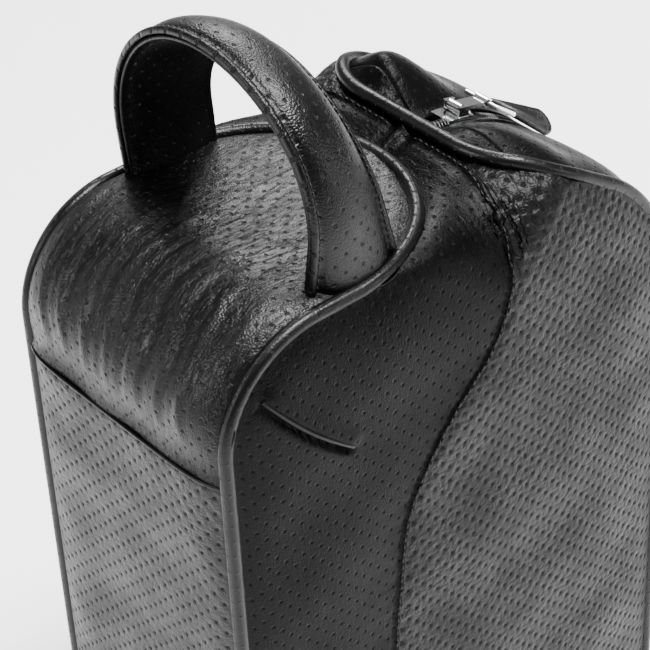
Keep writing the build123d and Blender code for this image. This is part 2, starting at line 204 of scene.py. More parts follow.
# ---- materials ----
class Nodes:
    """A short way to write a node tree."""

    def __init__(self, name):
        self.material = bpy.data.materials.new(name)
        self.material.use_nodes = True
        self.tree = self.material.node_tree
        self.tree.nodes.clear()
        self.shader = self.tree.nodes.new("ShaderNodeBsdfPrincipled")
        out = self.tree.nodes.new("ShaderNodeOutputMaterial")
        self.tree.links.new(self.shader.outputs[0], out.inputs[0])

    def node(self, kind, inputs=(), **settings):
        n = self.tree.nodes.new(kind)
        for key, value in settings.items():
            setattr(n, key, value)
        for key, value in dict(inputs).items():
            if isinstance(value, bpy.types.NodeSocket):
                self.tree.links.new(value, n.inputs[key])
            else:
                n.inputs[key].default_value = value
        return n

    def math(self, operation, a, b=0.0, c=0.0):
        return self.node("ShaderNodeMath", {0: a, 1: b, 2: c}, operation=operation).outputs[0]

    def vec(self, operation, a, b=(0.0, 0.0, 0.0)):
        n = self.node("ShaderNodeVectorMath", {0: a, 1: b}, operation=operation)
        return n.outputs["Value"] if operation in ("LENGTH", "DOT_PRODUCT") else n.outputs[0]

    def ramp(self, value, lo, hi, out_lo=0.0, out_hi=1.0):
        n = self.node("ShaderNodeMapRange", {"Value": value, "From Min": lo, "From Max": hi,
                                             "To Min": out_lo, "To Max": out_hi})
        n.interpolation_type = "SMOOTHSTEP"
        return n.outputs[0]

    def mix(self, factor, a, b):
        n = self.node("ShaderNodeMix", {0: factor}, data_type="RGBA")
        for index, value in ((6, a), (7, b)):
            if isinstance(value, bpy.types.NodeSocket):
                self.tree.links.new(value, n.inputs[index])
            else:
                n.inputs[index].default_value = (*value, 1.0)
        return n.outputs[2]

    def set(self, **values):
        for key, value in values.items():
            socket = self.shader.inputs[key.replace("_", " ")]
            if isinstance(value, bpy.types.NodeSocket):
                self.tree.links.new(value, socket)
            else:
                socket.default_value = (*value, 1.0) if isinstance(value, tuple) else value


def leather(name, tone, gloss, holes=1.0, step=hole_step, hole_r=0.62, crease=0.0, pebble=1.0,
            rough=0.40, pillow=0.0):
    """Black pebbled leather; the cut coordinate is millimetres along the skin before sewing."""
    m = Nodes(name)
    cut = m.node("ShaderNodeAttribute", attribute_name="cut").outputs["Vector"]
    wobble = m.node("ShaderNodeTexNoise", {"Vector": cut, "Scale": 0.09, "Detail": 2.0})
    shift = m.vec("SCALE", m.vec("SUBTRACT", wobble.outputs["Color"], (0.5, 0.5, 0.5)))
    shift.node.inputs["Scale"].default_value = 1.3
    place = m.vec("ADD", cut, shift)
    split = m.node("ShaderNodeSeparateXYZ", {0: place})
    p = m.math("MULTIPLY", m.math("ADD", split.outputs[0], split.outputs[1]), 0.5 / step)
    q = m.math("MULTIPLY", m.math("SUBTRACT", split.outputs[0], split.outputs[1]), 0.5 / step)
    cell = m.node("ShaderNodeCombineXYZ", {0: p, 1: q, 2: 0.0}).outputs[0]
    frac = m.vec("FRACTION", m.vec("ADD", cell, (100.5, 100.5, 0.0)))
    dist = m.math("MULTIPLY", m.vec("LENGTH", m.vec("SUBTRACT", frac, (0.5, 0.5, 0.0))),
                  step * math.sqrt(2))
    hole = m.ramp(dist, hole_r * 0.72, hole_r * 1.12, 1.0, 0.0)
    dish = m.ramp(dist, hole_r * 0.9, hole_r * 2.1, 1.0, 0.0)
    pebbles = m.node("ShaderNodeTexVoronoi", {"Vector": cut, "Scale": 1.25, "Smoothness": 0.45,
                                              "Randomness": 1.0}, feature="SMOOTH_F1")
    fine = m.node("ShaderNodeTexNoise", {"Vector": cut, "Scale": 1.9, "Detail": 3.0, "Roughness": 0.6})
    broad = m.node("ShaderNodeTexNoise", {"Vector": cut, "Scale": 0.05, "Detail": 3.0})
    grain = m.math("MULTIPLY", m.ramp(pebbles.outputs["Distance"], 0.15, 0.75, 1.0, 0.0), 0.15 * pebble)
    height = m.math("ADD", grain, m.math("MULTIPLY", fine.outputs[0], 0.12 * pebble))
    if crease:
        stretched = m.vec("MULTIPLY", cut, (0.20, 0.045, 1.0))
        folds = m.node("ShaderNodeTexNoise", {"Vector": stretched, "Scale": 1.0, "Detail": 4.0,
                                              "Roughness": 0.62, "Distortion": 1.4})
        ridge = m.math("ABSOLUTE", m.math("SUBTRACT", folds.outputs[0], 0.5))
        height = m.math("ADD", height, m.ramp(ridge, 0.0, 0.05, crease, 0.0))
    height = m.math("SUBTRACT", height, m.math("MULTIPLY", hole, 1.5 * holes))
    height = m.math("SUBTRACT", height, m.math("MULTIPLY", dish, 0.22 * holes))
    if pillow:
        warp = m.node("ShaderNodeTexNoise", {"Vector": cut, "Scale": 0.35, "Detail": 2.0})
        plump = m.ramp(dist, 0.5, step * 0.68, 0.0, pillow)
        uneven = m.ramp(warp.outputs[0], 0.25, 0.6, 0.35, 1.3)
        height = m.math("ADD", height, m.math("MULTIPLY", plump, uneven))
    bump = m.node("ShaderNodeBump", {"Height": height, "Strength": 1.0, "Distance": 0.0006})
    light_tone = (tone * 1.5, tone * 1.5, tone * 1.5)
    dark_tone = (tone * 0.62, tone * 0.62, tone * 0.63)
    tint = m.mix(m.ramp(pebbles.outputs["Distance"], 0.2, 0.7), light_tone, dark_tone)
    tint = m.mix(m.ramp(broad.outputs[0], 0.35, 0.7, 0.0, 0.5), tint, dark_tone)
    # The perforations are painted near-black: painted shade inside the holes, which are only bumps in the
    # skin.
    if holes:
        tint = m.mix(hole, tint, (0.0012, 0.0012, 0.0012))
    sheen = m.math("ADD", m.ramp(broad.outputs[0], 0.3, 0.7, rough - 0.06, rough + 0.07),
                   m.math("MULTIPLY", fine.outputs[0], 0.10))
    sheen = m.math("ADD", sheen, m.math("MULTIPLY", hole, 0.4 * holes))
    m.set(Base_Color=tint, Roughness=sheen, Normal=bump.outputs[0])
    m.set(Specular_IOR_Level=gloss)
    return m.material


def fabric(name, tone, scale):
    """Plain weave: a wave along each axis with a little fibre noise."""
    m = Nodes(name)
    where = m.node("ShaderNodeTexCoord").outputs["Object"]
    wave = {"Vector": where, "Scale": scale, "Distortion": 0.6}
    waves = [m.node("ShaderNodeTexWave", wave, bands_direction=axis).outputs[1] for axis in "ZYX"]
    noise = m.node("ShaderNodeTexNoise", {"Vector": where, "Scale": 900.0, "Detail": 3.0})
    total = m.math("ADD", m.math("ADD", waves[0], waves[1]), waves[2])
    fibres = m.math("MULTIPLY", noise.outputs[0], 0.3)
    height = m.math("ADD", m.math("MULTIPLY", total, 0.33), fibres)
    bump = m.node("ShaderNodeBump", {"Height": height, "Strength": 0.7, "Distance": 0.0003})
    tint = m.mix(m.ramp(height, 0.2, 0.9), (tone * 0.5,) * 3, (tone * 1.3,) * 3)
    m.set(Base_Color=tint, Roughness=0.85, Normal=bump.outputs[0], Sheen_Weight=0.2)
    return m.material


def chrome(name):
    """Polished plating with faint casting ripples and wiping marks."""
    m = Nodes(name)
    where = m.node("ShaderNodeTexCoord").outputs["Object"]
    ripple_tex = m.node("ShaderNodeTexNoise", {"Vector": where, "Scale": 260.0, "Detail": 2.0})
    marks = m.node("ShaderNodeTexNoise", {"Vector": where, "Scale": 1500.0, "Detail": 4.0})
    bump = m.node("ShaderNodeBump", {"Height": ripple_tex.outputs[0], "Strength": 0.35, "Distance": 0.0002})
    rough = m.ramp(marks.outputs[0], 0.35, 0.75, 0.05, 0.16)
    tint = m.mix(m.ramp(ripple_tex.outputs[0], 0.3, 0.7), (0.80, 0.81, 0.82), (0.92, 0.92, 0.93))
    m.set(Base_Color=tint, Metallic=1.0, Roughness=rough, Normal=bump.outputs[0])
    return m.material


def coil_plastic(name):
    m = Nodes(name)
    where = m.node("ShaderNodeTexCoord").outputs["Object"]
    noise = m.node("ShaderNodeTexNoise", {"Vector": where, "Scale": 700.0, "Detail": 2.0})
    tint = m.mix(noise.outputs[0], (0.010, 0.010, 0.011), (0.030, 0.030, 0.032))
    m.set(Base_Color=tint, Roughness=m.ramp(noise.outputs[0], 0.3, 0.7, 0.28, 0.42))
    return m.material


def thread(name):
    m = Nodes(name)
    where = m.node("ShaderNodeTexCoord").outputs["Object"]
    twist = m.node("ShaderNodeTexWave", {"Vector": where, "Scale": 700.0, "Distortion": 1.0},
                   bands_direction="DIAGONAL")
    bump = m.node("ShaderNodeBump", {"Height": twist.outputs[1], "Strength": 0.6, "Distance": 0.0001})
    tint = m.mix(twist.outputs[1], (0.004, 0.004, 0.004), (0.012, 0.012, 0.012))
    m.set(Base_Color=tint, Specular_IOR_Level=0.25, Roughness=0.4, Normal=bump.outputs[0])
    return m.material


# Painted light: spine_leather (0.0025) and perforated_leather (0.0015) get lighter tones than the other
# leathers (0.001 and below), standing in for the light that falls more on the spine and side faces.
skin_mat = leather("perforated_leather", hole_r=0.74, pillow=0.5, gloss=0.13, tone=0.0015)
spine_mat = leather("spine_leather", hole_r=0.70, pillow=0.35, gloss=0.24, tone=0.0025)
yoke_mat = leather("smooth_perforated_leather", pebble=0.8, crease=0.07, gloss=0.055, rough=0.33, tone=0.0008)
panel_mat = leather("creased_leather", crease=0.22, gloss=0.22, rough=0.32, tone=0.001)
welt_mat = leather("piping_leather", holes=0.5, hole_r=0.5, pebble=0.5, tone=0.001, rough=0.30, gloss=0.2)
strap_mat = leather("strap_leather", step=4.3, hole_r=0.62, rough=0.31, gloss=0.20, tone=0.001)
edge_mat = leather("folded_edge", holes=0.0, pebble=0.5, tone=0.001, rough=0.32, gloss=0.15)
lining_mat = fabric("lining", 0.05, 330.0)
tape_mat = fabric("zipper_tape", 0.018, 420.0)
board_mat = fabric("base_board", 0.045, 250.0)
chrome_mat = chrome("chrome")
coil_mat = coil_plastic("coil")
thread_mat = thread("thread")


# ---- the outline and the piping's routes ----
def outline(s):
    """(x, z) and outward normal of the side outline; s runs up the spine and over to the zipper."""
    straight = top - spine_r
    over = straight + spine_r * math.pi / 2
    flat = over + width - spine_r - zip_r
    round_end = flat + zip_r * math.pi / 2
    s = np.asarray(s, dtype=float)
    a = np.clip((s - straight) / spine_r, 0, math.pi / 2)
    b = np.clip((s - flat) / zip_r, 0, math.pi / 2)
    x = np.where(s < over, spine_r - spine_r * np.cos(a), np.clip(spine_r + s - over, spine_r, arc_x))
    x = x + np.where(s > flat, zip_r * np.sin(b), 0.0)
    z = np.where(s < straight, s, straight + spine_r * np.sin(a))
    z = np.where(s > flat, arc_z + zip_r * np.cos(b) - np.maximum(s - round_end, 0.0), z)
    nx = np.where(s < over, -np.cos(a), np.sin(b))
    nz = np.where(s < over, np.sin(a), np.cos(b))
    return x, z, nx, nz


S_CORNER = top - spine_r
S_TOP = S_CORNER + spine_r * math.pi / 2
S_ARC = S_TOP + width - spine_r - zip_r
S_DOWN = S_ARC + zip_r * math.pi / 2
S_FOOT = S_DOWN + arc_z - base_z


def s_of_x(x):
    x = np.asarray(x, dtype=float)
    on_arc = S_ARC + zip_r * np.arcsin(np.clip((x - arc_x) / zip_r, 0, 1))
    return np.where(x <= arc_x, S_TOP + x - spine_r, on_arc)


TIP_RISE = 9.0


def zip_lift(s):
    """How far the zipper's piping rises above the outline towards the gusset's end."""
    return TIP_RISE * smooth(S_ARC + 46, S_ARC - 8, s)


def along_rim(s, y, lift):
    x, z, nx, nz = outline(s)
    y = np.broadcast_to(y, np.shape(s))
    return np.stack([x + nx * lift, y, z + nz * lift], axis=-1)


def handle_route():
    s_line = np.linspace(base_r, s_of_x(handle_turn), 240)
    side = along_rim(s_line, -pipe_y, -pipe_r + SINK)
    turn = []
    for a in np.linspace(-math.pi / 2, math.pi / 2, 90):
        high = 2.4 * math.cos(a) ** 0.7 if abs(a) < math.pi / 2 else 0.0
        turn.append((handle_turn + pipe_y * math.cos(a), pipe_y * math.sin(a),
                     top - pipe_r + SINK + high))
    far = side[::-1].copy()
    far[:, 1] *= -1
    return np.concatenate([side, turn[1:-1], far])


def zip_half():
    """Near half of the zipper's piping, from its foot to the middle of the gusset's end."""
    turn = tip_x + tip_r
    down = np.linspace(S_DOWN + arc_z - base_r, s_of_x(turn), 220)
    y = np.full(len(down), -pipe_y)
    a = np.linspace(0, math.pi / 2, 50)[1:]
    xs = turn - tip_r * np.sin(a)
    flat = pipe_y - tip_r
    down = np.concatenate([down, s_of_x(xs), [float(s_of_x(tip_x))] * 12])
    y = np.concatenate([y, -flat - tip_r * np.cos(a), -flat * (1 - np.linspace(0, 1, 13)[1:])])
    lift = -pipe_r + SINK + zip_lift(down) + 2.0 * smooth(pipe_y, pipe_y - 12, -y)
    return along_rim(down, y, lift)


def zip_route():
    near = zip_half()
    far = near[::-1].copy()
    far[:, 1] *= -1
    return np.concatenate([near, far[1:]])


def base_route(y):
    pts = []
    r = base_r - pipe_r
    for a in np.linspace(math.pi, math.pi * 1.5, 16):
        pts.append((base_r + r * math.cos(a), y, base_r + r * math.sin(a)))
    for a in np.linspace(math.pi * 1.5, math.pi * 2, 16):
        pts.append((width - base_r + r * math.cos(a), y, base_r + r * math.sin(a)))
    return np.array(pts)


route_handle = handle_route()
route_zip = zip_route()
route_base = base_route(-pipe_y)


def swell(d, depth, rise, run=7.0):
    """Leather rises out of the piping's groove and reaches its full height some way in."""
    return -depth + (depth + rise) * (1 - np.exp(-np.maximum(d, 0) / run))


# ---- side and yoke panels ----
LEFT = pipe_r
RIGHT = width - pipe_r
seam_s = np.array([-10, 87, 187, 233, 263, 285, 309, 332, 359, 388, 430])
seam_x = np.array([74, 74, 77, 86, 105, 127, 138, 143, 146, 147, 147])


def spline_at(s, xs, ys):
    """A smooth curve through the points, by cubic Hermite pieces."""
    xs = np.asarray(xs, dtype=float)
    ys = np.asarray(ys, dtype=float)
    slope = np.gradient(ys, xs)
    k = np.clip(np.searchsorted(xs, s) - 1, 0, len(xs) - 2)
    h = xs[k + 1] - xs[k]
    t = np.clip((s - xs[k]) / h, 0, 1)
    a = 2 * t ** 3 - 3 * t ** 2 + 1
    b = t ** 3 - 2 * t ** 2 + t
    c = -2 * t ** 3 + 3 * t ** 2
    d = t ** 3 - t ** 2
    return a * ys[k] + b * h * slope[k] + c * ys[k + 1] + d * h * slope[k + 1]


def end_y(x):
    """How far from the middle plane the top of a column ends, by its x."""
    left = np.sqrt(np.clip(pipe_y ** 2 - np.clip(x - handle_turn, 0, pipe_y) ** 2, 0, None))
    turn = tip_x + tip_r
    reach = np.sqrt(np.clip(tip_r ** 2 - np.clip(turn - x, 0, tip_r) ** 2, 0, None))
    right = (pipe_y - tip_r + reach) * smooth(tip_x - 2.0, tip_x + 2.5, x)
    return np.where(x < handle_turn + pipe_y, left, right)


def shoulder(x):
    """Radius of the soft shoulder over column x, evened out along the bag."""
    total = 0.0
    weight = 0.0
    for k in range(-24, 25, 4):
        share = math.cos(k / 26.0 * math.pi / 2) ** 2
        near = end_y(np.clip(x + k, LEFT, RIGHT))
        total = total + share * np.clip(0.85 * (half_depth - near), 3.2, 34.0)
        weight += share
    return total / weight


def profile(x):
    """One column of the near side: its lowest point, top, shoulder radius and length of skin."""
    r_in = base_r - pipe_r
    dx = np.clip(np.maximum(base_r - x, x - (width - base_r)), 0, r_in)
    z_low = base_r - np.sqrt(r_in ** 2 - dx ** 2)
    rs = spine_r - pipe_r
    rz = zip_r - pipe_r
    left_arc = top - spine_r + np.sqrt(np.clip(rs ** 2 - np.clip(spine_r - x, 0, rs) ** 2, 0, None))
    right_arc = arc_z + np.sqrt(np.clip(rz ** 2 - np.clip(x - arc_x, 0, rz) ** 2, 0, None))
    z_pipe = np.minimum(left_arc, right_arc)
    hull_top = z_pipe + pipe_r
    ye = end_y(x)
    turned = smooth(0.0, 6.0, pipe_y - ye)
    r = shoulder(x)
    plain = z_pipe - z_low
    last = np.arccos(np.clip((ye - half_depth + r) / r, 0, 1))
    whole = (hull_top - r - z_low) + r * last + np.maximum(half_depth - r - ye, 0)
    return z_low, hull_top, r, plain + (whole - plain) * turned


def column(x, s):
    """Base surface of the near side: s millimetres of skin above the base piping, at x."""
    z_low, hull_top, r, _ = profile(x)
    up = hull_top - r - z_low
    angle = np.clip((s - up) / r, 0, math.pi / 2)
    y = half_depth - r + r * np.cos(angle) - np.maximum(s - up - r * math.pi / 2, 0)
    z = z_low + np.minimum(s, up) + r * np.sin(angle)
    return np.stack([x, -y, z], axis=-1)


def reach(x, t):
    """Where row t crosses the column at x; the rows even out below the piping's corners."""
    full = profile(x)[3]
    near = np.mean([profile(np.clip(x + k, LEFT, RIGHT))[3] for k in range(-10, 11, 2)], axis=0)
    even = np.mean([profile(np.clip(x + k, LEFT, RIGHT))[3] for k in range(-40, 41, 4)], axis=0)
    return t * even + (near - even) * t ** 5 + (full - near) * t ** 12


SEAM_TOP = float(profile(np.array(float(seam_x[-1])))[3])


def seam_point(t):
    s = SEAM_TOP * t
    return spline_at(s, seam_s, seam_x), s


def distance_to(points, route):
    flat = points.reshape(-1, 3)
    out = np.full(len(flat), 1e9)
    for start in range(0, len(flat), 4000):
        part = flat[start:start + 4000]
        gap = np.linalg.norm(part[:, None, :] - route[None, ::2, :], axis=2)
        out[start:start + 4000] = gap.min(axis=1)
    return out.reshape(points.shape[:2])


DART_A = np.array((17.0, 318.0))
DART_B = np.array((57.0, 276.0))


def dart(x, z):
    """The short sewn slit under the handle panel: a groove with a raised upper lip."""
    along = (DART_B - DART_A) / np.linalg.norm(DART_B - DART_A)
    across = np.array((-along[1], along[0]))
    length = np.linalg.norm(DART_B - DART_A)
    u = (x - DART_A[0]) * along[0] + (z - DART_A[1]) * along[1]
    v = (x - DART_A[0]) * across[0] + (z - DART_A[1]) * across[1]
    v = v + 2.2 * np.sin(np.clip(u / length, 0, 1) * math.pi)
    inside = smooth(-2, 4, u) * smooth(length + 1, length - 6, u)
    groove = -4.2 * np.exp(-((v + 0.7) / 1.15) ** 2)
    lip = 1.3 * np.exp(-((v - 2.6) / 3.4) ** 2) + 0.3 * np.exp(-((v + 4.2) / 3.0) ** 2)
    return (groove + lip) * inside


def outward(x, s):
    """Unit normal of the base surface, from small steps along x and along the skin."""
    h = 0.4
    along = column(x + h, s) - column(x - h, s)
    up = column(x, s + h) - column(x, s - h)
    n = np.cross(along, up)
    return n / np.maximum(np.linalg.norm(n, axis=-1, keepdims=True), 1e-9)


def side_surface(x, s):
    """Near side, draped: bulged between the pipings, with the seam's ridge, dart and puckers."""
    base = column(x, s)
    n = outward(x, s)
    d_zip = distance_to(base, route_zip[route_zip[:, 1] < 1])
    others = np.concatenate([route_handle[route_handle[:, 1] < 1], route_base])
    d = np.minimum(distance_to(base, others), d_zip)
    mid = np.clip(1 - ((x - width * 0.5) / (width * 0.5)) ** 2, 0, 1)
    tall = smooth(-10, 90, s) * smooth(392, 290, s)
    rise = 1.2 + 6.2 * mid * tall
    out = swell(d, pipe_r, rise, 8.5)
    out = out + 0.8 * ripple(x, s, 3, 70.0) * smooth(4, 30, d)
    gap = x - spline_at(s, seam_s, seam_x)
    yoke_edge = 0.75 * np.exp(-((gap + 0.8) / 1.8) ** 2)
    side_edge = -0.5 * np.exp(-((gap - 1.2) / 2.4) ** 2)
    ridge = np.where(gap < 0, yoke_edge, side_edge)
    stitch_line = -0.35 * np.exp(-((gap + 3.4) / 0.9) ** 2)
    pucker = 0.22 * np.sin(s * 2 * math.pi / 9.0 + 0.4 * np.sin(s / 13)) * np.exp(-np.abs(gap) / 8.0)
    out = out + (ridge + stitch_line + pucker) * smooth(3, 9, d)
    out = out + dart(x, base[..., 2]) * smooth(5, 9, d) * (base[..., 1] < -half_depth * 0.8)
    middle = np.abs(base[..., 1])
    crest = 2.0 * np.exp(-(middle / 1.6) ** 2) - 1.4 * np.exp(-((middle - 5) / 3.0) ** 2)
    out = out + crest * (s > 300) * smooth(2, 5, d)
    points = base + n * out[..., None]
    points[..., 2] += zip_lift(s_of_x(x)) * smooth(tip_x - 24, tip_x, x) * np.exp(-d_zip / 13.0)
    return points


def side_grid(part, rows, cols):
    """x and s over the yoke panel or the side panel, which meet along the long curved seam."""
    t = np.linspace(0, 1, rows)[:, None] * np.ones((1, cols))
    seam, seam_at = seam_point(t)
    u = np.linspace(0, 1, cols)[None, :] * np.ones_like(t)
    u = 1 - (1 - u) ** 1.15 if part == "yoke" else u ** 1.5
    lo, hi = (LEFT, seam) if part == "yoke" else (seam, RIGHT)
    x = lo + (hi - lo) * u
    near_seam = u if part == "yoke" else 1 - u
    return x, reach(x, t) + near_seam * (seam_at - reach(seam, t))


def side_pieces(sign, word):
    for part, cols in (("yoke", 128), ("side", 116)):
        x, s = side_grid(part, 250, cols)
        points = side_surface(x, s)
        cut = np.stack([x, s, np.full_like(x, 11.0 if sign < 0 else 47.0)], axis=-1)
        if sign > 0:
            points = points * np.array((1, -1, 1))
        name = part + "_panel_" + word
        obj = grid_object("skin_" + name, points, cut, flip=sign > 0)
        material = yoke_mat if part == "yoke" else skin_mat
        settle(thicken(obj), "shell", material, "perforated_leather", name)


def dart_lip(sign, word):
    """The folded edge that overlaps the slit."""
    u = np.linspace(0.03, 0.97, 60)
    along = DART_B - DART_A
    across = np.array((-along[1], along[0])) / np.linalg.norm(along)
    spot = DART_A + along * u[:, None] + across * (0.75 - 2.2 * np.sin(u * math.pi))[:, None]
    x = spot[:, 0][:, None] + np.array((-0.5, 0.0, 0.5))[None, :]
    s = np.repeat((spot[:, 1] - pipe_r)[:, None], 3, axis=1)
    points = side_surface(x, s)[:, 1]
    n = outward(x, s)[:, 1]
    line = points + n * (-0.75 + 0.9 * np.sin(u * math.pi) ** 0.5)[:, None]
    if sign > 0:
        line = line * np.array((1, -1, 1))
    obj = tube("dart_lip_" + word, line, circle(0.85, 12), step=0.8)
    settle(obj, "shell", edge_mat, "piping_leather")


side_pieces(-1, "near")
side_pieces(1, "far")
dart_lip(-1, "near")
dart_lip(1, "far")


# ---- the band: spine, handle panel, gusset, lips, end and base ----
def band(s_values, y_limit, rise, lift, cols, seed):
    """Points and cut places of a strip of the band, between the edges at plus and minus y_limit."""
    s = np.asarray(s_values)[:, None] * np.ones((1, cols))
    limit = y_limit(s)
    y = limit * np.linspace(-1, 1, cols)[None, :]
    x, z, nx, nz = outline(s)
    d = limit - np.abs(y)
    out = swell(d, pipe_r, rise(s, y)) + lift(s, y, d)
    out = out + 0.5 * ripple(y, s, seed, 45.0) * smooth(3, 18, d)
    points = np.stack([x + nx * out, y, z + nz * out], axis=-1)
    cut = np.stack([y + 0.0 * s, s, np.full_like(s, 3.0 * seed)], axis=-1)
    return points, cut


def full_width(s):
    return np.full_like(s, pipe_y)


def handle_limit(s):
    x = outline(s)[0]
    past = np.where(s > S_TOP, np.clip(x - handle_turn, 0, pipe_y), 0)
    return np.sqrt(np.clip(pipe_y ** 2 - past ** 2, 0.01, None))


def handle_rise(s, y):
    corner = smooth(seam_z - 4, S_CORNER + 20, s) * smooth(S_TOP + 26, S_CORNER + 40, s)
    return 1.6 + 4.2 * corner


def handle_folds(s, y, d):
    """Creases that run across the bag where the leather folds over the spine's corner."""
    zone = smooth(seam_z + 8, S_CORNER + 12, s) * smooth(S_TOP + 20, S_CORNER + 50, s)
    bend = y + 7.0 * np.sin(s / 34.0) + 1.6 * np.sin(s / 8.0 + y / 20)
    waves = 0.42 * np.sin(bend * 0.42) + 0.30 * np.sin(bend * 0.93 + 1.0 + s / 40)
    edge = 1.3 * np.exp(-((s - seam_z) / 2.2) ** 2)
    return waves * zone * smooth(4, 20, d) + edge


s_handle = np.concatenate([np.arange(seam_z, S_TOP + 20, 1.6),
                           np.linspace(S_TOP + 20, float(s_of_x(handle_turn + pipe_y - 0.4)), 62)[1:]])
points, cut = band(s_handle, handle_limit, handle_rise, handle_folds, cols=84, seed=6)
obj = grid_object("skin_handle_panel", points, cut, flip=True)
settle(thicken(obj), "shell", panel_mat, "perforated_leather", "handle_panel")

s_spine = np.arange(base_z, seam_z + 0.1, 2.0)


def spine_rise(s, y):
    return 0.8 + 2.6 * smooth(base_z, base_z + 80, s)


def spine_edge(s, y, d):
    return -1.2 * np.exp(-((s - seam_z) / 3.0) ** 2)


points, cut = band(s_spine, full_width, spine_rise, spine_edge, cols=72, seed=8)
obj = grid_object("skin_spine_panel", points, cut, flip=True)
settle(thicken(obj), "shell", spine_mat, "perforated_leather", "spine_panel")


def seam_line():
    y = np.linspace(-pipe_y + 1.5, pipe_y - 1.5, 80)
    d = pipe_y - np.abs(y)
    out = swell(d, pipe_r, 2.6) + 0.5
    return np.stack([-out, y, np.full_like(y, seam_z - 1.0)], axis=-1)


obj = tube("spine_seam_fold", seam_line(), circle(0.95, 10), upright=(0, 0, 1))
settle(obj, "shell", edge_mat, "piping_leather")


def gusset_limit(s):
    x = outline(s)[0]
    turn = tip_x + tip_r
    back = np.clip(turn - x, 0, tip_r)
    near_tip = pipe_y - tip_r + np.sqrt(np.clip(tip_r ** 2 - back ** 2, 0, None))
    return np.where(s < S_ARC + 40, near_tip, pipe_y)


def dome(s, y, d):
    """The gusset stands proud either side of the zipper, most of all near its square end."""
    s_tip = float(s_of_x(tip_x))
    tip = smooth(s_tip, s_tip + 14, s)
    fade = 1 - 0.86 * smooth(S_ARC + 4, S_ARC + 42, s)
    crown = smooth(0, 26, d)
    bulge = (7.0 + 4.0 * np.tanh(y / 6.0)) * tip * fade * crown
    slit = smooth(S_ARC - 9, S_ARC + 1, s)
    valley = np.exp(-(np.abs(y) / 18.0) ** 2.4)
    start = bulge + zip_lift(s)
    below = 1.8
    return start - (start + below) * valley * slit


GUSSET_RISE = 1.5


def gusset_rise(s, y):
    return np.full_like(s, GUSSET_RISE)


S_SLIT = S_ARC + 3.0
SLIT = 4.2
tip_rows = np.linspace(float(s_of_x(tip_x)), S_SLIT, 12)
points, cut = band(tip_rows, gusset_limit, gusset_rise, dome, cols=64, seed=9)
obj = grid_object("skin_gusset_end", points, cut, flip=True)
settle(thicken(obj), "shell", yoke_mat, "perforated_leather", "zip_gusset")


def half_band(name, rows, sign, cols=44, seed=9):
    """One side of the gusset along the zipper, from its turned edge to the piping."""
    s = np.asarray(rows)[:, None] * np.ones((1, cols))
    lim = gusset_limit(s)
    u = np.linspace(0, 1, cols)[None, :]
    first = SLIT * smooth(S_SLIT - 0.1, S_SLIT + 3.0, s) + 0.2
    y = (first + (lim - first) * u) * sign
    x, z, nx, nz = outline(s)
    d = lim - np.abs(y)
    out = swell(d, pipe_r, GUSSET_RISE) + dome(s, y, d)
    open_here = smooth(S_SLIT, S_SLIT + 9, s)
    calm = 1 - open_here * (1 - smooth(SLIT, 16, np.abs(y)))
    out = out + 0.5 * ripple(y, s, seed, 45.0) * smooth(3, 18, d) * calm
    rim = np.abs(y) - first
    roll = 0.4 * np.exp(-((rim - 1.2) / 1.6) ** 2)
    sewn = 0.5 * np.exp(-((rim - 4.6) / 0.8) ** 2)
    out = out + (roll - sewn) * open_here
    points = np.stack([x + nx * out, y, z + nz * out], axis=-1)
    cut = np.stack([y + 0.0 * s, s, np.full_like(s, 3.0 * seed)], axis=-1)
    return grid_object(name, points, cut, flip=sign > 0)


S_MOUTH = S_DOWN + arc_z - mouth_high
S_MOUTH_END = S_DOWN + arc_z - mouth_low
S_SPLIT = (S_MOUTH + S_MOUTH_END) / 2
for sign, word in ((-1, "near"), (1, "far")):
    rows = np.arange(S_SLIT, S_MOUTH + 0.5, 1.6)
    rows[-1] = S_MOUTH
    obj = half_band("skin_gusset_" + word, rows, sign)
    settle(thicken(obj), "shell", yoke_mat, "perforated_leather")


def split_lip(make, word, slot, material, *nodes):
    """A lip's piece in an upper and a lower half, each given the lip's material."""
    fold = 45.0
    upper = make("upper", S_MOUTH, S_SPLIT)
    lower = make("lower", S_SPLIT, S_MOUTH_END)
    for obj, from_z, to_z in ((upper, mouth_high, mouth_high - fold),
                              (lower, mouth_low, mouth_low + fold)):
        obj.data.materials.clear()
        obj.data.materials.append(material)
        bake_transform(obj)
        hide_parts(*nodes)


for sign, word in ((-1, "near"), (1, "far")):
    def lip_skin(part, s0, s1, sign=sign, word=word):
        rows = np.linspace(s0, s1, 52)
        return thicken(half_band("skin_lip_%s_%s" % (word, part), rows, sign))
    split_lip(lip_skin, word, "perforated_leather", yoke_mat, "zip_lip_" + word)

rows = np.linspace(S_MOUTH_END, S_FOOT, 24)


def end_lift(s, y, d):
    return dome(s, y, d) * smooth(S_MOUTH_END + 26, S_MOUTH_END, s)


points, cut = band(rows, full_width, gusset_rise, end_lift, cols=72, seed=9)
obj = grid_object("skin_zip_end", points, cut, flip=True)
settle(thicken(obj), "shell", skin_mat, "perforated_leather", "zip_end_panel")


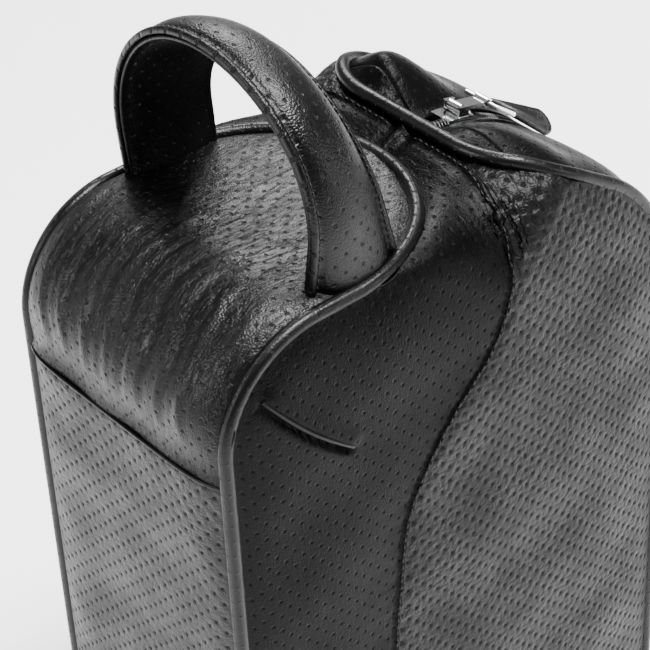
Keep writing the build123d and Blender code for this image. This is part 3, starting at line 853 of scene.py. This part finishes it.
def base_surface():
    cols = 60
    path = []
    for z in np.linspace(base_z, base_r, 3)[:-1]:
        path.append((0.0, z, -1.0, 0.0))
    for a in np.linspace(math.pi, 1.5 * math.pi, 14):
        path.append((base_r + base_r * math.cos(a), base_r + base_r * math.sin(a),
                     math.cos(a), math.sin(a)))
    for x in np.linspace(base_r, width - base_r, 60)[1:-1]:
        path.append((x, 0.0, 0.0, -1.0))
    for a in np.linspace(1.5 * math.pi, 2 * math.pi, 14):
        path.append((width - base_r + base_r * math.cos(a), base_r + base_r * math.sin(a),
                     math.cos(a), math.sin(a)))
    for z in np.linspace(base_r, base_z, 3)[1:]:
        path.append((width, z, 1.0, 0.0))
    path = np.array(path)
    y = np.linspace(-pipe_y, pipe_y, cols)[None, :] * np.ones((len(path), 1))
    d = pipe_y - np.abs(y)
    rise = 1.2 * (1 - np.abs(path[:, 3:4]) ** 4)
    out = swell(d, pipe_r, 0.0, 5.0) + rise * smooth(0, 20, d)
    x = path[:, 0:1] + path[:, 2:3] * out
    z = np.maximum(path[:, 1:2] + path[:, 3:4] * out, 0.05)
    run = np.concatenate([[0], np.cumsum(np.linalg.norm(np.diff(path[:, :2], axis=0), axis=1))])
    cut = np.stack([y, run[:, None] * np.ones_like(y), np.full_like(y, 71.0)], axis=-1)
    return np.stack([x, y, z], axis=-1), cut


points, cut = base_surface()
obj = grid_object("skin_base", points, cut)
settle(thicken(obj, 1.4), "shell", skin_mat, "perforated_leather", "base_panel")

# ---- piping ----
obj = tube("piping_spine", route_handle, circle(pipe_r, 18), step=1.5)
settle(obj, "shell", welt_mat, "piping_leather", "spine_piping")
obj = tube("piping_zip", route_zip, circle(pipe_r, 18), step=1.5)
settle(obj, "shell", welt_mat, "piping_leather", "zip_piping")
for y, word in ((-pipe_y, "near"), (pipe_y, "far")):
    obj = tube("piping_base_" + word, base_route(y), circle(pipe_r, 18), step=1.5)
    settle(obj, "shell", welt_mat, "piping_leather", "base_piping_" + word)


# ---- zipper tapes and coil ----
TAPE_DEPTH = 2.4
TAPE_THICK = 0.7


def tape_strip(name, s0, s1, sign):
    s = np.linspace(s0, s1, max(4, int((s1 - s0) / 2)))[:, None] * np.ones((1, 8))
    y = sign * np.linspace(1.4, 13.0, 8)[None, :] * np.ones_like(s)
    x, z, nx, nz = outline(s)
    points = np.stack([x - nx * TAPE_DEPTH, y, z - nz * TAPE_DEPTH], axis=-1)
    cut = np.stack([y, s, np.zeros_like(s)], axis=-1)
    return thicken(grid_object(name, points, cut, flip=sign > 0), TAPE_THICK)


def coil_strip(name, s0, s1, sign):
    """Nylon coil: one rounded loop for each tooth, its head just over the middle line."""
    pitch = 1.5
    count = int((s1 - s0) / pitch)
    loop_pts = [(2.6, -0.5), (1.5, 0.75), (0.2, 0.95), (-0.55, 0.45), (-0.55, -0.25), (0.2, -0.7),
                (1.5, -0.7)]
    sides = 6
    sunk = 1.0
    sec = circle(0.36, sides)
    verts, faces = [], []
    for k in range(count):
        s = s0 + (k + (0.5 if sign > 0 else 0.0)) * pitch
        x, z, nx, nz = (float(v) for v in outline(s))
        tx, tz = nz, -nx
        n = len(loop_pts)
        first = len(verts)
        for i in range(n):
            a = np.array(loop_pts[max(i - 1, 0)])
            b = np.array(loop_pts[min(i + 1, n - 1)])
            t = (b - a) / np.linalg.norm(b - a)
            normal = (-t[1], t[0])
            for c_along, c_norm in sec:
                yy = loop_pts[i][0] + normal[0] * c_norm
                up = loop_pts[i][1] + normal[1] * c_norm - sunk
                verts.append((x + nx * up + tx * c_along, sign * yy, z + nz * up + tz * c_along))
        for i in range(n - 1):
            for j in range(sides):
                a = first + i * sides + j
                b = first + i * sides + (j + 1) % sides
                faces.append((a, b, b + sides, a + sides))
    return new_object(name, in_frame(np.array(verts)), faces)


for sign, word in ((-1, "near"), (1, "far")):
    obj = tape_strip("tape_top_" + word + "_cloth", S_SLIT - 4, S_MOUTH, sign)
    settle(obj, "shell", tape_mat, "zip_tape", "tape_top_" + word)
    obj = coil_strip("coil_top_" + word, S_SLIT, S_MOUTH, sign)
    settle(obj, "shell", coil_mat, "zip_teeth", "chain_top_" + word)

    def lip_tape(part, s0, s1, sign=sign, word=word):
        return tape_strip("tape_lip_%s_%s" % (word, part), s0, s1, sign)

    def lip_coil(part, s0, s1, sign=sign, word=word):
        return coil_strip("coil_lip_%s_%s" % (word, part), s0, s1, sign)
    split_lip(lip_tape, word, "zip_tape", tape_mat, "tape_lip_" + word)
    split_lip(lip_coil, word, "zip_teeth", coil_mat, "chain_lip_" + word)


# ---- handle ----
def strap_route(radius, foot):
    """Centre line of the strap in the plane across the bag, at a radius from the arch's centre."""
    pts = [(0.0, -radius, z) for z in np.linspace(foot, arch_z, 16)[:-1]]
    for a in np.linspace(math.pi, 0, 70):
        pts.append((0.0, radius * math.cos(a), arch_z + radius * math.sin(a)))
    pts += [(0.0, radius, z) for z in np.linspace(arch_z, foot, 16)[1:]]
    return np.array(pts)


STRAP_TILT = math.radians(24)
STRAP_WAIST = 0.14
STRAP_LEAN = 5.0
STRAP_STEP = 1.7


def strap_frame(pts, radius, foot):
    """Outward directions, height from 0 to 1, width factor and tilt along the strap."""
    tangent = np.gradient(pts, axis=0)
    tangent /= np.linalg.norm(tangent, axis=1, keepdims=True)
    out_dir = np.cross(np.array((1.0, 0, 0)), tangent)
    flip = np.sum(out_dir * (pts - np.array((0, 0, arch_z - 20))), axis=1) < 0
    out_dir[flip] *= -1
    rise = (pts[:, 2] - foot) / (arch_z + radius - foot)
    bend = np.sin(np.clip(rise, 0, 1) * math.pi / 2)
    return out_dir, rise, 1.0 - STRAP_WAIST * bend, STRAP_TILT * bend


def strap_shell(name, radius, foot, half_w, outer, inner):
    """A strap whose outer and inner faces are given as heights over its width."""
    pts, at = resample(strap_route(radius, foot), STRAP_STEP)
    out_dir, rise, flare, tilt = strap_frame(pts, radius, foot)
    u = np.linspace(-1, 1, 41)
    across = np.concatenate([u, u[::-1]])
    high = np.concatenate([outer(u), inner(u[::-1])])
    n, m = len(pts), len(across)
    grid = np.zeros((n, m, 3))
    middle = strap_x - STRAP_LEAN * rise[:, None]
    wide = across[None, :] * half_w * flare[:, None]
    tilt = tilt[:, None]
    raised = high[None, :] * np.cos(tilt) - wide * np.sin(tilt)
    grid[..., 0] = middle + wide * np.cos(tilt) + high[None, :] * np.sin(tilt)
    grid[..., 1] = pts[:, 1:2] + out_dir[:, 1:2] * raised
    grid[..., 2] = pts[:, 2:3] + out_dir[:, 2:3] * raised
    cut = np.zeros((n, m, 3))
    cut[..., 0] = across[None, :] * half_w
    cut[..., 1] = at[:, None]
    cut[..., 2] = 90.0
    return new_object(name, in_frame(grid).reshape(-1, 3), grid_faces(n, m, wrap=True),
                      cut.reshape(-1, 3))


def crown(u):
    pad = 5.6 * np.clip(1 - (np.abs(u) / 0.80) ** 2.4, 0, None) ** 0.75
    edge = 0.9 * np.clip(1 - ((np.abs(u) - 0.93) / 0.08) ** 2, 0, None)
    return 1.0 + pad + edge - 0.5 * np.exp(-((np.abs(u) - 0.82) / 0.03) ** 2)


def flat_under(u):
    return -1.0 - 0.3 * np.cos(u * math.pi / 2)


def inner_face(u):
    return -0.8 - 1.2 * np.clip(1 - (np.abs(u) / 0.85) ** 3, 0, None)


mid_r = strap_high[1] / MM - 3.6
foot_z = top - 1.0
blend_from = (0, 0, (top + 2) * MM)
blend_to = (0, 0, (top + 44) * MM)
obj = strap_shell("handle_strap_outer", mid_r, foot_z, strap_w / 2, crown, flat_under)
obj.data.materials.append(strap_mat)
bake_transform(obj)
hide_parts("handle_outer", "handle_core", "handle_root_near", "handle_root_far")


def thin_top(u):
    return np.full_like(u, 0.7)


obj = strap_shell("handle_strap_inner", mid_r - 2.4, foot_z, strap_w / 2 - 0.8, thin_top, inner_face)
obj.data.materials.append(strap_mat)
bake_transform(obj)
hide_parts("handle_inner")


# ---- stitching ----
def stitches(name, points, normals, body, blend=None):
    """A row of thread stitches lying along a line on the skin."""
    length, gap, radius = 2.3, 1.1, 0.33
    fine = 0.25
    sides = 6
    pts, at = resample(points, fine)
    old = np.linspace(0, 1, len(normals))
    new = np.linspace(0, 1, len(pts))
    nrm = np.stack([np.interp(new, old, normals[:, k]) for k in range(3)], axis=1)
    verts, faces = [], []
    step = length + gap
    for k in range(int(at[-1] / step)):
        i0 = int((k * step) / fine)
        i1 = min(int((k * step + length) / fine), len(pts) - 1)
        first = len(verts)
        spots = np.linspace(i0, i1, 5).astype(int)
        for j, i in enumerate(spots):
            t = pts[min(i + 1, len(pts) - 1)] - pts[max(i - 1, 0)]
            t = t / max(np.linalg.norm(t), 1e-9)
            n = nrm[i] / max(np.linalg.norm(nrm[i]), 1e-9)
            b = np.cross(t, n)
            arch = (0.0, 0.75, 1.0, 0.75, 0.0)[j]
            fat = (0.35, 0.95, 1.0, 0.95, 0.35)[j]
            for a in range(sides):
                ang = 2 * math.pi * a / sides
                verts.append(pts[i] + n * (radius * (arch * 0.9 - 0.35) + radius * fat * math.sin(ang))
                             + b * radius * fat * math.cos(ang))
        for j in range(4):
            for a in range(sides):
                q = first + j * sides + a
                r = first + j * sides + (a + 1) % sides
                faces.append((q, r, r + sides, q + sides))
    obj = new_object(name, in_frame(np.array(verts)), faces)
    obj.data.materials.append(thread_mat)
    if blend:
        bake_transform(obj)
    else:
        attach(obj, body)


def seam_stitches(sign, word):
    x, s = seam_point(np.linspace(0.02, 0.985, 500))
    xs = x[:, None] + np.array((-3.0, -2.0, -1.0))[None, :]
    ss = np.repeat(s[:, None], 3, axis=1)
    points = side_surface(xs, ss)
    n = outward(xs, ss)[:, 1]
    line = points[:, 1] + n * 0.3
    if sign > 0:
        line = line * np.array((1, -1, 1))
        n = n * np.array((1, -1, 1))
    stitches("stitches_yoke_" + word, line, n, "shell")


seam_stitches(-1, "near")
seam_stitches(1, "far")


def strap_stitches():
    """The two rows of stitches near the edges of the strap's outer face."""
    out_at = 0.88
    pts, _ = resample(strap_route(mid_r, foot_z + 4), STRAP_STEP)
    out_dir, rise, flare, tilt = strap_frame(pts, mid_r, foot_z)
    high = crown(np.array([out_at]))[0] + 0.15
    for side, word in ((-1, "spine"), (1, "zip")):
        line = pts.copy()
        wide = side * out_at * strap_w / 2 * flare
        line[:, 0] = strap_x - STRAP_LEAN * rise + wide * np.cos(tilt) + high * np.sin(tilt)
        line = line + out_dir * (high * np.cos(tilt) - wide * np.sin(tilt))[:, None]
        stitches("stitches_strap_" + word, line, out_dir, None,
                 blend=("shell", "handle", blend_from, blend_to))


strap_stitches()


# ---- pull tabs ----
TAB_ROLL = math.radians(34)


def pull_tab(name, node, body, hang):
    """A leather tab with a rounded end, folded over the metal loop's bar."""
    low, high = (np.array(v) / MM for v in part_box(node))
    centre = (low + high) / 2
    centre[0] -= x_origin
    u = np.array((math.cos(math.radians(hang)), 0.0, math.sin(math.radians(hang))))
    v = np.array((0.0, 1.0, 0.0))
    w = np.array((-u[2], 0.0, u[0]))
    length, half = 38.0, 6.3
    ring = []
    count = 44
    for k in range(count):
        a = 2 * math.pi * k / count
        ca, sa = math.cos(a), math.sin(a)
        power = 0.22 if ca < 0 else 0.9
        px = math.copysign(abs(ca) ** power, ca) * (half if ca > 0 else 3.0)
        py = math.copysign(abs(sa) ** (0.55 if ca < 0 else 1.0), sa) * half
        px += (length / 2 - half) if ca > 0 else -(length / 2 - 3.0)
        ring.append((px, py))
    verts, faces, cuts = [], [], []
    levels = [(0.0, 1.45), (0.45, 1.75), (0.80, 1.35), (0.90, 1.5), (0.97, 1.1), (1.0, 0.35),
              (1.0, -0.35), (0.97, -1.1), (0.90, -1.5), (0.80, -1.35), (0.45, -1.75), (0.0, -1.45)]
    for scale, h in levels:
        for px, py in ring:
            inward = max(half * (1 - scale), 0.0)
            sx = px * (1 - inward * 2 / length) if scale > 0 else px * 0.55
            sy = py * scale
            roll = TAB_ROLL * float(smooth(4 - length / 2, 2.0, sx))
            level = v * math.cos(roll) + w * math.sin(roll)
            proud = w * math.cos(roll) - v * math.sin(roll)
            p = centre + u * sx + level * sy + proud * h
            verts.append(p)
            cuts.append((sx, sy, 5.0 if h > 0 else 15.0))
    n = len(ring)
    faces += grid_faces(len(levels), n, wrap=True)
    faces.append(tuple(range(n))[::-1])
    faces.append(tuple((len(levels) - 1) * n + j for j in range(n)))
    obj = new_object(name, in_frame(np.array(verts)), faces, cuts)
    settle(obj, body, strap_mat, "tab_leather", node)
    return obj


pull_tab("leather_tab_upper", "tab_upper", "pull_upper", -36.9)
pull_tab("leather_tab_lower", "tab_lower", "pull_lower", -80.0)

# ---- CAD nodes that stay, with softened edges and their own materials ----
for node in ("slider_upper", "slider_lower", "link_upper", "link_lower", "loop_upper", "loop_lower",
             "zip_stop"):
    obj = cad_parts[node]
    obj.data.materials.clear()
    obj.data.materials.append(chrome_mat)
    soften = obj.modifiers.new("soft_edges", "BEVEL")
    soften.width = 0.35 * MM
    soften.segments = 3
    soften.limit_method = "ANGLE"
    soften.angle_limit = math.radians(35)
for node, material in (("lining_near", lining_mat), ("lining_far", lining_mat), ("lining_band", lining_mat),
                       ("base_board", board_mat)):
    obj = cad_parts[node]
    obj.data.materials.clear()
    obj.data.materials.append(material)


# ---- floor, lights and camera ----
LIGHT_AIM = Vector((0.0, 0.0, 0.3))
WORLD_STRENGTH = 0.3


def floor():
    half = 6.0
    corners = [(-half, -half, 0), (half, -half, 0), (half, half, 0), (-half, half, 0)]
    mesh = bpy.data.meshes.new("floor")
    mesh.from_pydata(corners, [], [(0, 1, 2, 3)])
    obj = bpy.data.objects.new("floor", mesh)
    bpy.context.scene.collection.objects.link(obj)
    m = Nodes("floor")
    where = m.node("ShaderNodeTexCoord").outputs["Object"]
    noise = m.node("ShaderNodeTexNoise", {"Vector": where, "Scale": 3.0, "Detail": 2.0})
    tint = m.mix(noise.outputs[0], (0.90, 0.90, 0.90), (0.93, 0.93, 0.93))
    m.set(Base_Color=tint, Roughness=0.9)
    mesh.materials.append(m.material)


def area_light(name, place, size, power):
    """A rectangular lamp in metres and watts, turned towards the bag's upper part."""
    light = bpy.data.lights.new(name, "AREA")
    light.shape = "RECTANGLE"
    light.size, light.size_y = size
    light.energy = power
    obj = bpy.data.objects.new(name, light)
    obj.location = place
    obj.rotation_euler = (LIGHT_AIM - Vector(place)).to_track_quat("-Z", "Y").to_euler()
    bpy.context.scene.collection.objects.link(obj)


def studio():
    world = bpy.data.worlds.new("studio")
    bpy.context.scene.world = world
    world.use_nodes = True
    back = world.node_tree.nodes["Background"]
    back.inputs[0].default_value = (1.0, 1.0, 1.0, 1.0)
    back.inputs[1].default_value = WORLD_STRENGTH
    area_light("overhead", (0.2, -0.4, 1.9), (0.7, 0.45), 135)
    area_light("high_back", (0.8, 1.0, 1.35), (0.8, 0.5), 44)
    area_light("spine_side", (-1.7, 0.4, 1.1), (0.6, 0.8), 30)
    area_light("near_side", (1.2, -1.6, 0.8), (0.8, 0.6), 14)


CAMERA_AZIMUTH = -38.7
CAMERA_ELEVATION = 37.0
CAMERA_ROLL = 3.0
FOCAL_PX = 2400.0
PICTURE = 650.0
SENSOR = 36.0
CAMERA_AIM = (67.2, -42.9, 314.2)
CAMERA_DISTANCE = 0.90


def camera():
    """Looks down at the corner between the spine and the near side."""
    a = math.radians(CAMERA_AZIMUTH)
    e = math.radians(CAMERA_ELEVATION)
    back = Vector((math.sin(a) * math.cos(e), -math.cos(a) * math.cos(e), math.sin(e)))
    right = Vector((math.cos(a), math.sin(a), 0.0))
    up = back.cross(right)
    r = math.radians(CAMERA_ROLL)
    right, up = right * math.cos(r) - up * math.sin(r), right * math.sin(r) + up * math.cos(r)
    data = bpy.data.cameras.new("camera")
    data.sensor_width = SENSOR
    data.lens = FOCAL_PX / PICTURE * SENSOR
    obj = bpy.data.objects.new("camera", data)
    bpy.context.scene.collection.objects.link(obj)
    place = Vector(in_frame(CAMERA_AIM)) + back * CAMERA_DISTANCE
    turn = Matrix((right, up, back)).transposed().to_4x4()
    obj.matrix_world = Matrix.Translation(place) @ turn
    bpy.context.scene.camera = obj


floor()
studio()
camera()
